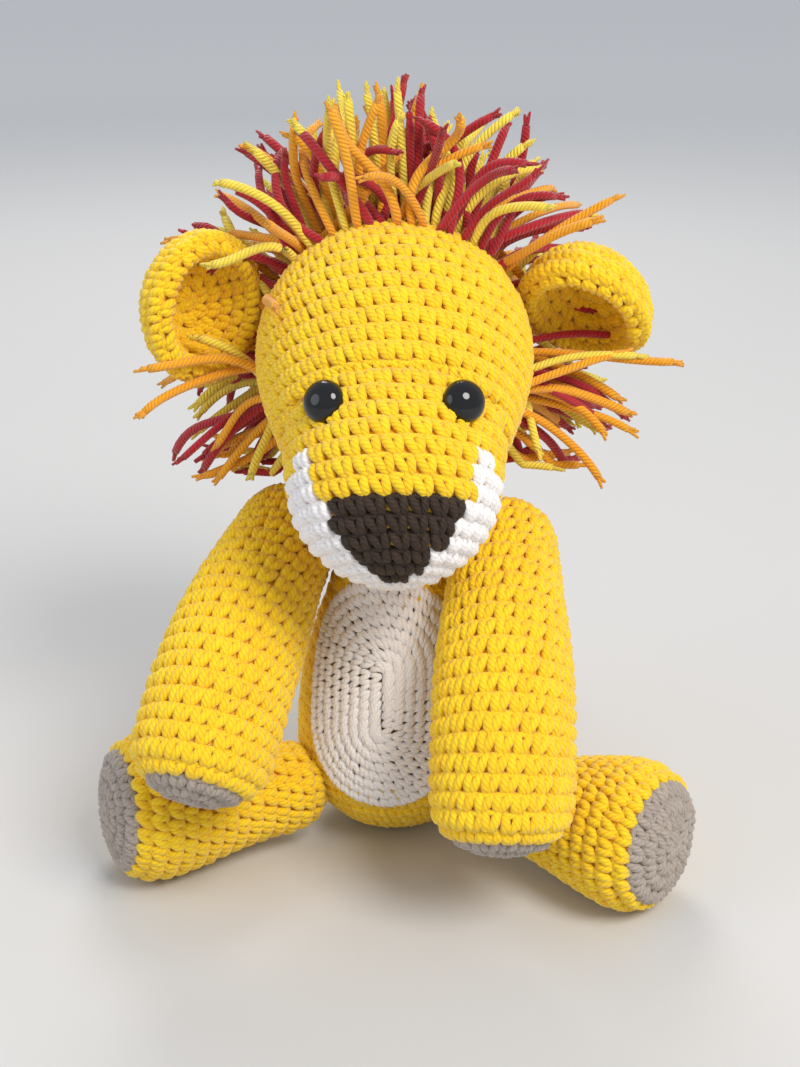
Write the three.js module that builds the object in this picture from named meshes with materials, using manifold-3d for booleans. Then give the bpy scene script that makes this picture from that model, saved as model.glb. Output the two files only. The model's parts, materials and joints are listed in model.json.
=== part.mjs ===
// A crocheted toy lion that sits with its paws over its legs. It is made of stuffed crochet
// shells sewn together: a pear-shaped body, an egg-shaped head with safety eyes, cupped ears,
// two arms, two legs, a tail, and a mane of knotted yarn. Millimetres, +Z up, facing -Y, with
// the origin on the surface it sits on, under the middle of its bounding box.
import * as THREE from 'three';
import { mergeVertices } from 'three/addons/utils/BufferGeometryUtils.js';
import Module from 'manifold-3d';

const wasm = await Module();
wasm.setup();

// ---------------------------------------------------------------- driving dimensions
const FABRIC = 4; // thickness of the crocheted wall
const GAP = 0.3; // clearance between pieces that touch
const LOOSE = 0.6; // clearance between a wall and the stuffing in it
const CLEAR = 1; // how far a cutting tool runs past what it cuts
const REACH = 100; // longer than any form that a cutting tool has to pass right through

const BODY = { y: 3, height: 98, neckRadius: 12.5, seatRadius: 8.6 };
// how wide the pear is, from the seat to the neck: [height, radius]
const BODY_SHAPE = [
  [2, 13], [5, 18], [10, 23], [18, 27.5], [28, 29], [45, 28], [60, 24.6], [76, 19], [89, 15],
];
const PATCH = { halfWidth: 24.5, halfHeight: 33, z: 51, thickness: 2.4 };

const HEAD = { back: 38, front: 28, spacing: 44.2, pitch: 30.2, turn: 8, y: 1, z: 145 };
const WHITE_FROM = 88; // along the head's axis, where the white rounds end
const BRIDGE = { halfWidth: 19.3, floor: -0.6 }; // the yellow strip that comes down to the nose
// half of the nose seen from straight ahead, from the middle of its top edge to its tip, as
// [across, up] from the middle of the muzzle
const NOSE_HALF = [[0, 4], [13, 3], [18.2, -0.6], [15.4, -8], [8.4, -16.2], [0, -20]];
const EYE = { radius: 6, height: 4.6, edge: 0.6, along: 75.5, around: 36.8, post: 2.1, postLength: 9 };
const WASHER = { radius: 6.5, thickness: 1.6, room: 1, slack: 1.4 };
const NECK = { opening: 9.5, ringRadius: 10.8, yarn: 1.2 };

const EAR = { radius: 18, depth: 13, wall: 6, narrow: 0.85 };
const EARS = {
  left: { x: -52, y: 8, z: 157, toeIn: 42, droop: 4 },
  right: { x: 52.5, y: 9, z: 156, toeIn: 24, droop: 42 },
};

// A limb's outline, and where its end pad starts. Then how each one is sewn on: the middle of
// its round upper end, the way it heads off in degrees, and how far it curls down by its end.
const ARM = { start: 15, end: 19.2, cap: 13.3, fullAt: 0.65, span: 76, opening: 7, padFrom: 99.6 };
const LEG = { start: 13.5, end: 21.5, cap: 9, fullAt: 1, span: 45, opening: 6, padFrom: 63 };
const SEWN_ON = {
  left_arm: { x: -32, y: 5, z: 89, outwards: 10, up: -15, curl: 32 },
  right_arm: { x: 32, y: 0, z: 90, outwards: 5, up: -22, curl: 42 },
  left_leg: { x: -30.4, y: -17.4, z: 17.6, outwards: 58, up: 5, curl: 0 },
  right_leg: { x: 37, y: -14.6, z: 17.8, outwards: 60, up: 5, curl: 0 },
};

const TAIL = { radius: 4.4, tuftRadius: 7.6, tuftLength: 26 };
const TAIL_PATH = [
  [0, 32.2, 19.4], [0, 39, 16], [0.5, 47, 9.5], [3.5, 55, 6.2], [10, 60.5, 5.4], [18, 61.5, 5.8],
];
const TUFT_REACH = [0.93, -0.25, 0.27]; // the way the tuft points from the tail's end

// Locks of the mane sit in rows round the head's axis. Each row has its angle from the back of
// the head and the angles round the head, from the crown, at which its locks stand.
const LOCK = { length: 33, root: 5.2, tip: 8.6, knot: 1.2 };
const MANE_ROWS = [
  { tilt: 77, places: [0, 25, -25, 50, -50, 119, -119, 143.5, -143.5, 168, -168] },
  { tilt: 43, places: [0, 45, -45, 90, -90, 135, -135, 180] },
  { tilt: 0, places: [0] },
];

const ROUND = 18; // sides of the big forms
const INNER_ROUND = 14; // sides of what is inside them
const SMALL_ROUND = 10; // sides of the small forms

// ---------------------------------------------------------------- materials
const yarn = (color) => new THREE.MeshStandardMaterial({ color, roughness: 0.95, metalness: 0 });
const YELLOW = yarn(0xf2bf16);
const WHITE = yarn(0xe9e2dc);
const BROWN = yarn(0x2e1c14);
const TAUPE = yarn(0xa3958f);
const FIBREFILL = yarn(0xf5f5f2);
const MANE_YARNS = [yarn(0xf0a321), yarn(0xa31423), yarn(0xf3d34a)];
const EYE_BLACK = new THREE.MeshStandardMaterial({ color: 0x0b0b0d, roughness: 0.08, metalness: 0 });
const WASHER_PLASTIC = new THREE.MeshStandardMaterial({ color: 0xe8e6e0, roughness: 0.5, metalness: 0 });

// ---------------------------------------------------------------- helpers
const radians = THREE.MathUtils.degToRad;
const Y_TO_Z = new THREE.Matrix4().makeRotationX(Math.PI / 2);

/** A closed solid turned about Z, from an outline of points (radius, height). The outline starts
 * and ends on the axis. */
function turned(outline, sides = ROUND) {
  return new THREE.LatheGeometry(outline, sides).applyMatrix4(Y_TO_Z);
}

/** The outline moved inwards by a depth, edge by edge, for the inside of a wall. */
function inset(outline, depth) {
  const mirrored = (point) => new THREE.Vector2(-point.x, point.y);
  const inwards = (from, to) => new THREE.Vector2(from.y - to.y, to.x - from.x).normalize();
  return outline.map((point, i) => {
    const first = inwards(outline[i - 1] ?? mirrored(outline[i + 1]), point);
    const second = inwards(point, outline[i + 1] ?? mirrored(outline[i - 1]));
    const mitre = depth / (1 + first.dot(second));
    return point.clone().addScaledVector(first.add(second), mitre);
  });
}

/** The outline of a stuffed limb or head: a round start, an eased swelling or taper, and a rounded end. */
function limbOutline({ start, end, cap, span, fullAt }, arcSteps = 5, spanSteps = 5) {
  const points = [];
  for (let i = 0; i < arcSteps; i++) {
    const angle = (i / arcSteps) * (Math.PI / 2);
    points.push(new THREE.Vector2(start * Math.sin(angle), start * (1 - Math.cos(angle))));
  }
  for (let i = 0; i < spanSteps; i++) {
    const way = i / spanSteps;
    const ease = THREE.MathUtils.smoothstep(way, 0, fullAt);
    points.push(new THREE.Vector2(THREE.MathUtils.lerp(start, end, ease), start + span * way));
  }
  for (let i = 0; i <= arcSteps; i++) {
    const angle = (i / arcSteps) * (Math.PI / 2);
    points.push(new THREE.Vector2(end * Math.cos(angle), start + span + cap * Math.sin(angle)));
  }
  points.at(-1).x = 0;
  return points;
}

function toManifold(geometry) {
  const bare = geometry.clone();
  bare.deleteAttribute('normal');
  bare.deleteAttribute('uv');
  const merged = mergeVertices(bare, 1e-4);
  const index = merged.index.array;
  const corners = [];
  for (let i = 0; i < index.length; i += 3) {
    const [a, b, c] = index.slice(i, i + 3);
    if (a !== b && b !== c && c !== a) corners.push(a, b, c);
  }
  return new wasm.Manifold(new wasm.Mesh({
    numProp: 3,
    vertProperties: new Float32Array(merged.attributes.position.array),
    triVerts: new Uint32Array(corners),
  }));
}

function toGeometry(manifold) {
  const mesh = manifold.getMesh();
  const geometry = new THREE.BufferGeometry();
  geometry.setAttribute('position', new THREE.BufferAttribute(mesh.vertProperties, 3));
  geometry.setIndex(new THREE.BufferAttribute(mesh.triVerts, 1));
  geometry.computeVertexNormals();
  return geometry;
}

/** The first solid without the others. */
function cut(geometry, ...tools) {
  const whole = toManifold(geometry);
  return toGeometry(tools.reduce((solid, tool) => solid.subtract(toManifold(tool)), whole));
}

/** What two solids share. */
function shared(a, b) {
  return toGeometry(toManifold(a).intersect(toManifold(b)));
}

function node(name, geometry, material) {
  const mesh = new THREE.Mesh(geometry, material);
  mesh.name = name;
  return mesh;
}

function boxAt(x, y, z, w, d, h) {
  return new THREE.BoxGeometry(w, d, h).translate(x, y, z);
}

/** A cylinder along Z from one height to another. */
function rodZ(radius, from, to, sides = INNER_ROUND) {
  return new THREE.CylinderGeometry(radius, radius, to - from, sides)
    .applyMatrix4(Y_TO_Z)
    .translate(0, 0, (from + to) / 2);
}

/** An axis-aligned box that keeps all of a form that lies past a place on its Z axis. */
function beyond(place) {
  return boxAt(0, 0, place + REACH, 2 * REACH, 2 * REACH, 2 * REACH);
}

// ---------------------------------------------------------------- limbs
/** A stuffed limb along its own +Z: a wall open at the sewn end, its stuffing and its end pad. */
function limb(names, outline, opening, padFrom) {
  const wall = cut(turned(outline), turned(inset(outline, FABRIC)), rodZ(opening, -CLEAR, FABRIC * 2));
  const shell = cut(wall, beyond(padFrom));
  const pad = shared(wall, beyond(padFrom + GAP));
  const group = new THREE.Group();
  group.add(
    node(names.shell, shell, YELLOW),
    node(names.pad, pad, TAUPE),
    node(names.stuffing, turned(inset(outline, FABRIC + LOOSE), INNER_ROUND), FIBREFILL),
  );
  return group;
}

/** Curls a limb that runs along +Z evenly towards its own -Y, from one place along it to another. */
function curled(geometry, from, to, angle) {
  const rate = radians(angle) / (to - from);
  const positions = geometry.attributes.position;
  for (let i = 0; rate && i < positions.count; i++) {
    const [y, z] = [positions.getY(i), positions.getZ(i)];
    const along = THREE.MathUtils.clamp(z, from, to);
    const turn = (along - from) * rate;
    const [sin, cos] = [Math.sin(turn), Math.cos(turn)];
    positions.setY(i, -(1 - cos) / rate + y * cos - (z - along) * sin);
    positions.setZ(i, from + sin / rate + y * sin + (z - along) * cos);
  }
  geometry.computeVertexNormals();
}

/** Turns a group so that its +Z points along a heading and its +Y is as upright as it can be. */
function aim(group, side, outwards, up) {
  const flat = Math.cos(radians(up));
  const ahead = new THREE.Vector3(
    side * Math.sin(radians(outwards)) * flat,
    -Math.cos(radians(outwards)) * flat,
    Math.sin(radians(up)),
  );
  const across = new THREE.Vector3(0, 0, 1).cross(ahead).normalize();
  group.quaternion.setFromRotationMatrix(
    new THREE.Matrix4().makeBasis(across, ahead.clone().cross(across), ahead));
}

/** An arm or a leg, sewn on by the middle of its round upper end. */
function sewnLimb(name, shape, padName) {
  const { x, y, z, outwards, up, curl } = SEWN_ON[name];
  const names = { shell: `${name}_shell`, stuffing: `${name}_stuffing`, pad: padName };
  const pieces = limb(names, limbOutline(shape), shape.opening, shape.padFrom);
  for (const mesh of pieces.children) {
    curled(mesh.geometry, shape.start, shape.start + shape.span, curl);
    mesh.geometry.translate(0, 0, -shape.start);
  }
  aim(pieces, Math.sign(x), outwards, up);
  pieces.position.set(x, y, z);
  return pieces;
}

// ---------------------------------------------------------------- body
function bodyOutline() {
  const points = BODY_SHAPE.map(([z, r]) => new THREE.Vector2(r, z));
  const curve = new THREE.SplineCurve([
    new THREE.Vector2(BODY.seatRadius, 0), ...points, new THREE.Vector2(BODY.neckRadius, BODY.height),
  ]);
  return [new THREE.Vector2(0, 0), ...curve.getPoints(15), new THREE.Vector2(0, BODY.height)];
}

/** A ball a little larger than a limb's end, which presses its dent into the body. */
function dent(name, radius) {
  const { x, y, z } = SEWN_ON[name];
  return new THREE.SphereGeometry(radius + GAP, ROUND, ROUND * 2 / 3).translate(x, y - BODY.y, z);
}

function body() {
  const outline = bodyOutline();
  const inside = inset(outline, FABRIC);
  const dents = [
    dent('left_arm', ARM.start), dent('right_arm', ARM.start),
    dent('left_leg', LEG.start), dent('right_leg', LEG.start),
  ];
  const mouth = rodZ(NECK.opening, BODY.height - 2 * FABRIC, BODY.height + CLEAR);
  const shell = cut(turned(outline), turned(inside), mouth, ...dents);

  const ellipse = new THREE.Shape();
  ellipse.absellipse(0, 0, PATCH.halfWidth, PATCH.halfHeight, 0, 2 * Math.PI);
  const oval = new THREE.ExtrudeGeometry(
    ellipse, { depth: REACH, bevelEnabled: false, curveSegments: ROUND })
    .rotateX(Math.PI / 2)
    .translate(0, 0, PATCH.z);
  const raised = turned(inset(outline, -PATCH.thickness - GAP));
  const patch = cut(shared(raised, oval), turned(inset(outline, -GAP)));

  const group = new THREE.Group();
  group.add(
    node('body_shell', shell, YELLOW),
    node('body_stuffing', turned(inset(outline, FABRIC + LOOSE), INNER_ROUND), FIBREFILL),
    node('belly_patch', patch, WHITE),
  );
  group.position.y = BODY.y;
  return group;
}

function neck() {
  const start = BODY.height - FABRIC + GAP; // above the body's own stuffing
  const top = BODY.height + 2 * NECK.yarn + GAP;
  const roll = rodZ(NECK.opening - GAP, start, top);
  const ring = new THREE.TorusGeometry(NECK.ringRadius, NECK.yarn, 6, 20)
    .translate(0, 0, BODY.height + NECK.yarn + GAP);
  const group = new THREE.Group();
  group.add(node('neck_stuffing', roll, FIBREFILL), node('neck_seam', ring, YELLOW));
  group.position.y = BODY.y;
  return group;
}

// ---------------------------------------------------------------- head
// The head is turned about its own +Z, from the back of the skull at -HEAD.back to the tip of
// the muzzle. tiltFace() then lays that axis forwards and down, so in the cutting tools below
// X is across the face, Y is to the back and Z is up, measured from the middle of the skull.
const faceAxis = new THREE.Vector3(0, -Math.cos(radians(HEAD.pitch)), -Math.sin(radians(HEAD.pitch)));
const tiltFace = new THREE.Matrix4()
  .makeRotationFromQuaternion(new THREE.Quaternion().setFromUnitVectors(new THREE.Vector3(0, 0, 1), faceAxis))
  .multiply(new THREE.Matrix4().makeTranslation(0, 0, -HEAD.back));
const muzzle = faceAxis.clone().multiplyScalar(HEAD.spacing); // the middle of the muzzle's dome

const headOutline = limbOutline(
  { start: HEAD.back, end: HEAD.front, cap: HEAD.front, span: HEAD.spacing, fullAt: 1 }, 6, 6);

/** The white area: all rounds near the tip, less the yellow bridge above the nose. */
function whiteArea(margin) {
  const rounds = beyond(WHITE_FROM + margin).applyMatrix4(tiltFace);
  const floor = muzzle.z + BRIDGE.floor - margin;
  const bridge = boxAt(0, -REACH / 2, floor + REACH / 2, 2 * (BRIDGE.halfWidth + margin), REACH, REACH);
  return cut(rounds, bridge);
}

/** The nose area, which runs straight back through the front of the muzzle. */
function noseArea(margin) {
  const middle = new THREE.Vector2(0, (NOSE_HALF[0][1] + NOSE_HALF.at(-1)[1]) / 2);
  const right = NOSE_HALF.map(([x, z]) => {
    const corner = new THREE.Vector2(x, z);
    return corner.addScaledVector(corner.clone().sub(middle).normalize(), margin);
  });
  const left = right.slice(1, -1).reverse().map((corner) => new THREE.Vector2(-corner.x, corner.y));
  const shape = new THREE.Shape();
  shape.setFromPoints([...right, ...left].reverse());
  return new THREE.ExtrudeGeometry(shape, { depth: REACH, bevelEnabled: false })
    .rotateX(Math.PI / 2)
    .translate(0, muzzle.y + HEAD.front / 3, muzzle.z);
}

/** How far the head's surface is from its axis at a place along it. */
function headRadius(place) {
  const next = headOutline.findIndex((point) => point.y > place);
  const [a, b] = [headOutline[next - 1], headOutline[next]];
  return THREE.MathUtils.mapLinear(place, a.y, b.y, a.x, b.x);
}

/** Puts a piece that is made along +Z on the head at an eye's place, standing square on the face. */
function onFace(side, lift) {
  const around = radians(EYE.around) * side;
  const ring = headRadius(EYE.along);
  const narrows = headRadius(EYE.along - EYE.radius) - headRadius(EYE.along + EYE.radius);
  const spot = new THREE.Vector3(Math.sin(around) * ring, Math.cos(around) * ring, EYE.along);
  const out = new THREE.Vector3(Math.sin(around), Math.cos(around), narrows / (2 * EYE.radius)).normalize();
  const stand = new THREE.Matrix4().makeRotationFromQuaternion(
    new THREE.Quaternion().setFromUnitVectors(new THREE.Vector3(0, 0, 1), out));
  return tiltFace.clone()
    .multiply(new THREE.Matrix4().makeTranslation(...spot.addScaledVector(out, lift)))
    .multiply(stand);
}

/** A safety eye: a glossy dome on a post that goes through the fabric. */
function eyeOutline() {
  const { radius, height, edge, post, postLength } = EYE;
  const dome = new THREE.EllipseCurve(0, edge, radius, height - edge, 0, Math.PI / 2).getPoints(5);
  dome.at(-1).x = 0;
  return [
    new THREE.Vector2(0, -postLength), new THREE.Vector2(post, -postLength),
    new THREE.Vector2(post, 0), new THREE.Vector2(radius, 0), ...dome,
  ];
}

/** The plastic ring that is pushed on an eye's post inside the head. */
function washerGeometry() {
  const { radius, thickness, slack } = WASHER;
  const hole = EYE.post + GAP;
  const profile = [[hole, 0], [radius, 0], [radius, thickness], [hole, thickness], [hole, 0]];
  return turned(profile.map(([r, z]) => new THREE.Vector2(r, z)), SMALL_ROUND)
    .translate(0, 0, -FABRIC - thickness - slack);
}

/** A cupped ear as a thick bowl that opens along +Z. */
function earGeometry() {
  const half = EAR.wall / 2;
  const bowl = (offset, angle) => new THREE.Vector2(
    (EAR.radius + offset) * Math.sin(angle), -(EAR.depth + offset) * Math.cos(angle));
  const steps = [0, 1, 2, 3, 4].map((i) => (i / 4) * (Math.PI / 2));
  const rim = [1, 2].map((i) => new THREE.Vector2(
    EAR.radius + half * Math.cos((i * Math.PI) / 3), half * Math.sin((i * Math.PI) / 3)));
  const outline = [
    ...steps.map((a) => bowl(half, a)), ...rim, ...steps.toReversed().map((a) => bowl(-half, a)),
  ];
  return turned(outline, INNER_ROUND).scale(EAR.narrow, 1, 1);
}

function ear(name) {
  const { x, y, z, toeIn, droop } = EARS[name];
  const mesh = node(`${name}_ear`, earGeometry(), YELLOW);
  mesh.rotation.set(radians(90 + droop), 0, radians(-Math.sign(x) * toeIn), 'ZYX');
  mesh.position.set(x, y, z);
  return mesh;
}

/** One lock: a bunch of knotted strands that fans out from a narrow root, along +Z. */
function lockGeometry() {
  const { length, root, tip, knot } = LOCK;
  const points = [[0, 0], [root, knot], [(root + tip) / 2, length / 2], [tip, length - tip / 2],
    [tip / 2, length], [0, length]];
  return turned(points.map(([r, z]) => new THREE.Vector2(r, z)), SMALL_ROUND);
}

function mane() {
  const group = new THREE.Group();
  let count = 0;
  for (const { tilt, places } of MANE_ROWS) {
    for (const place of places) {
      const flat = Math.sin(radians(tilt));
      const out = new THREE.Vector3(
        Math.sin(radians(place)) * flat, Math.cos(radians(place)) * flat, -Math.cos(radians(tilt)));
      out.transformDirection(tiltFace);
      const name = `mane_lock_${String(count + 1).padStart(2, '0')}`;
      const mesh = node(name, lockGeometry(), MANE_YARNS[count % MANE_YARNS.length]);
      mesh.quaternion.setFromUnitVectors(new THREE.Vector3(0, 0, 1), out);
      mesh.position.copy(out.multiplyScalar(HEAD.back + GAP));
      group.add(mesh);
      count += 1;
    }
  }
  return group;
}

function head() {
  const solid = (points, sides) => turned(points, sides).applyMatrix4(tiltFace);
  const neckHole = rodZ(NECK.opening, -HEAD.back - CLEAR, -HEAD.back + 3 * FABRIC)
    .translate(0, BODY.y - HEAD.y, 0);
  const wall = cut(solid(headOutline), solid(inset(headOutline, FABRIC)), neckHole);

  const eyes = [['left', -1], ['right', 1]];
  const behindEyes = (radius) => eyes.map(([, side]) => (
    rodZ(radius, -EYE.postLength - CLEAR, CLEAR).applyMatrix4(onFace(side, 0))));
  const postHoles = behindEyes(EYE.post + GAP);
  const shell = cut(wall, whiteArea(0), noseArea(GAP), ...postHoles);
  const cap = cut(shared(wall, whiteArea(GAP)), noseArea(GAP));
  const nose = shared(wall, noseArea(0));
  const inside = solid(inset(headOutline, FABRIC + LOOSE));
  const stuffing = cut(inside, ...behindEyes(WASHER.radius + WASHER.room));

  const group = new THREE.Group();
  group.add(
    node('head_shell', shell, YELLOW),
    node('muzzle_cap', cap, WHITE),
    node('nose', nose, BROWN),
    node('head_stuffing', stuffing, FIBREFILL),
    mane(),
  );
  for (const [name, side] of eyes) {
    group.add(
      node(`${name}_eye`, turned(eyeOutline(), INNER_ROUND).applyMatrix4(onFace(side, 2 * GAP)), EYE_BLACK),
      node(`${name}_eye_washer`, washerGeometry().applyMatrix4(onFace(side, 0)), WASHER_PLASTIC),
    );
  }
  group.position.set(0, HEAD.y, HEAD.z);
  return group;
}

function ears() {
  const group = new THREE.Group();
  group.add(ear('left'), ear('right'));
  return group;
}

// ---------------------------------------------------------------- tail
function tail() {
  const path = new THREE.CatmullRomCurve3(TAIL_PATH.map((point) => new THREE.Vector3(...point)));
  const section = new THREE.Shape();
  section.absarc(0, 0, TAIL.radius, 0, 2 * Math.PI);
  const tube = new THREE.ExtrudeGeometry(
    section, { extrudePath: path, steps: 16, curveSegments: SMALL_ROUND / 2 });

  const { tuftRadius: r, tuftLength: length } = TAIL;
  const points = [[0, 0], [r * 0.6, 1], [r, length * 0.5], [r * 0.75, length * 0.85], [0, length]];
  const tuftShape = turned(points.map(([x, z]) => new THREE.Vector2(x, z)), SMALL_ROUND);
  const tuft = node('tail_tuft', tuftShape, MANE_YARNS[1]);
  const out = new THREE.Vector3(...TUFT_REACH).normalize();
  tuft.quaternion.setFromUnitVectors(new THREE.Vector3(0, 0, 1), out);
  tuft.position.set(...TAIL_PATH.at(-1)).addScaledVector(path.getTangent(1), 3 * GAP);

  const group = new THREE.Group();
  group.add(node('tail', tube, YELLOW), tuft);
  return group;
}

// ---------------------------------------------------------------- the whole toy
const headTurn = new THREE.Group(); // the head looks a little to one side
headTurn.rotation.z = radians(HEAD.turn);
const headAndEars = new THREE.Group();
headAndEars.add(head(), ears());
headAndEars.position.y = -BODY.y;
headTurn.position.y = BODY.y;
headTurn.add(headAndEars);

const lion = new THREE.Group();
lion.add(
  body(), neck(), headTurn, tail(),
  sewnLimb('left_arm', ARM, 'left_paw_pad'), sewnLimb('right_arm', ARM, 'right_paw_pad'),
  sewnLimb('left_leg', LEG, 'left_sole'), sewnLimb('right_leg', LEG, 'right_sole'),
);
const middle = new THREE.Box3().setFromObject(lion, true).getCenter(new THREE.Vector3());
lion.position.set(-middle.x, -middle.y, 0); // so that it stands over its own origin
export default lion;
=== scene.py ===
# %% [markdown]
# # A crocheted lion, stitch by stitch
#
# This lion is a set of stuffed crochet forms sewn together: body, head, ears, arms, legs and
# tail, with a mane of knotted yarn. The frame that is loaded here holds those forms as plain
# solids on the bodies that move. The axes and outlines of the stuffed forms are measured on
# those solids, and the sizes of the ears, eyes, neck and tail are given here. Then yarn is laid
# over every form, loop by loop, as a hook would do it.
#
# A smooth skin with a picture on it would be quicker, but it has no depth at the outline and no
# holes for light to fall into. Loops of real geometry have both.

import json
import math

import bpy
import numpy as np
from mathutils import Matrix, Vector

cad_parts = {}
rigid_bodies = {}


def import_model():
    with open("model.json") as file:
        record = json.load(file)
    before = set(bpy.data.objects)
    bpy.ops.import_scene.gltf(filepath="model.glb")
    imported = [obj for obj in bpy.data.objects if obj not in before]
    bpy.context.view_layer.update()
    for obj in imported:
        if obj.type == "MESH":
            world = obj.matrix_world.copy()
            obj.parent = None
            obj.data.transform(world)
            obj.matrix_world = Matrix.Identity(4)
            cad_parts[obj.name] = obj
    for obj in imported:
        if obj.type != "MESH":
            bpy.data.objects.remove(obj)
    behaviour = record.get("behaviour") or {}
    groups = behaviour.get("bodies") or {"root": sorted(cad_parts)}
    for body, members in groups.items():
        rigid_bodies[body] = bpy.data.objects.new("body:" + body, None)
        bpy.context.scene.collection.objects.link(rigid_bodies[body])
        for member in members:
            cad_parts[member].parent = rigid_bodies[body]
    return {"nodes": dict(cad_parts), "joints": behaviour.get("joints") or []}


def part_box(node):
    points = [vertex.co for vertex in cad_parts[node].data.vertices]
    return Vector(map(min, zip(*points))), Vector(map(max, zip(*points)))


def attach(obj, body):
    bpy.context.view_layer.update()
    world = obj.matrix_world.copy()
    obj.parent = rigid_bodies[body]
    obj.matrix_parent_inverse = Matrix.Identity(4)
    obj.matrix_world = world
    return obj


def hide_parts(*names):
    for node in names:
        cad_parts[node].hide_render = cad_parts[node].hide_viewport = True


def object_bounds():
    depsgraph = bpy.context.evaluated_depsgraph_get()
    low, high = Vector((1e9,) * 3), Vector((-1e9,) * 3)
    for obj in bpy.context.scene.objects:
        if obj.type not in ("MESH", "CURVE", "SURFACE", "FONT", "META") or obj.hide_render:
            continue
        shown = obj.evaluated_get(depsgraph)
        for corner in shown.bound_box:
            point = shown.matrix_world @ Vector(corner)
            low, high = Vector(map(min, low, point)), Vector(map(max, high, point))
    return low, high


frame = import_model()
cad_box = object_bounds()
MM = 0.001

CAMERA_AZIMUTH = math.radians(8)
CAMERA_HEIGHT = math.radians(22)
CAMERA_DISTANCE = 460 * MM
LENS = 54
AIM_ASIDE = -1.8 * MM  # the camera aims a little beside and behind the middle of the seat
AIM_BEHIND = 3.7 * MM
AIM_HEIGHT = 0.432  # as a share of the lion's own height

low, high = cad_box
aim = Vector((AIM_ASIDE, AIM_BEHIND, AIM_HEIGHT * high.z))
back = Vector((
    math.sin(CAMERA_AZIMUTH) * math.cos(CAMERA_HEIGHT),
    -math.cos(CAMERA_AZIMUTH) * math.cos(CAMERA_HEIGHT),
    math.sin(CAMERA_HEIGHT),
))
camera = bpy.data.objects.new("camera", bpy.data.cameras.new("camera"))
camera.data.lens = LENS
camera.location = aim + back * CAMERA_DISTANCE
camera.rotation_euler = back.to_track_quat("Z", "Y").to_euler()
bpy.context.scene.collection.objects.link(camera)
bpy.context.scene.camera = camera
print(f"the solids' box is {[round(v / MM) for v in high - low]} mm")

# %% [markdown]
# ## Doing sums in a shader
#
# A yarn's twist is a formula of where a point lies on the strand. Written as nodes it is a
# long chain, so a small class wraps a socket and lets Python's own signs add the Math nodes.


# %% The shader helper
class Wire:
    """One output socket, with the arithmetic that the recipes below use."""

    def __init__(self, recipe, socket):
        self.recipe = recipe
        self.socket = socket

    def maths(self, operation, *values):
        sockets = {0: self} | {place + 1: value for place, value in enumerate(values)}
        return self.recipe.node("ShaderNodeMath", {"operation": operation}, sockets)

    def __add__(self, other):
        return self.maths("ADD", other)

    __radd__ = __add__

    def __sub__(self, other):
        return self.maths("SUBTRACT", other)

    def __rsub__(self, other):
        return self * -1 + other

    def __mul__(self, other):
        return self.maths("MULTIPLY", other)

    __rmul__ = __mul__

    def __truediv__(self, other):
        return self.maths("DIVIDE", other)

    def __pow__(self, other):
        return self.maths("POWER", other)


class Recipe:
    """A material, and the one method that adds a node to it."""

    def __init__(self, name):
        self.material = bpy.data.materials.new(name)
        self.material.use_nodes = True
        self.tree = self.material.node_tree
        self.shader = self.tree.nodes["Principled BSDF"]

    def node(self, kind, settings=None, inputs=None, output=0):
        made = self.tree.nodes.new(kind)
        for key, value in (settings or {}).items():
            if key == "stops":
                self.set_stops(made.color_ramp, value)
            else:
                setattr(made, key, value)
        for key, value in (inputs or {}).items():
            self.feed(made.inputs[key], value)
        return Wire(self, made.outputs[output])

    def feed(self, socket, value):
        if isinstance(value, Wire):
            self.tree.links.new(value.socket, socket)
        else:
            socket.default_value = value

    def set_stops(self, ramp, stops):
        while len(ramp.elements) < len(stops):
            ramp.elements.new(1)
        for element, (place, colour) in zip(ramp.elements, stops):
            element.position = place
            element.color = (*colour, 1)

    def mix(self, amount, first, second):
        """Two colours mixed by an amount that changes over the surface."""
        first, second = [c if isinstance(c, Wire) else (*c, 1) for c in (first, second)]
        return self.node("ShaderNodeMix", {"data_type": "RGBA"}, {0: amount, 6: first, 7: second}, 2)

    def surface(self, **inputs):
        for key, value in inputs.items():
            self.feed(self.shader.inputs[key.replace("_", " ")], value)
        return self.material


# %% [markdown]
# ## Acrylic yarn
#
# The yarn is four plies twisted together, each a soft bundle of fine shiny fibres. Two things
# are stored on every yarn mesh: `strand`, which is the distance along the yarn with the cosine
# and sine of the angle round it, and `tone`, one random number for each length of yarn. The
# recipe turns them into plies (a bump with sharp grooves), fibres that follow the plies, and
# a colour that is darker in the grooves, which is painted shade. Keeping cosine and sine instead
# of the angle itself avoids a break where the last side of a tube meets its first.


# %% The yarn recipe
PLIES = 4
PLY_PITCH = 4.8 * MM  # how far along the yarn a ply goes once round
FIBRES = 9  # fine fibres seen across one ply


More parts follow.
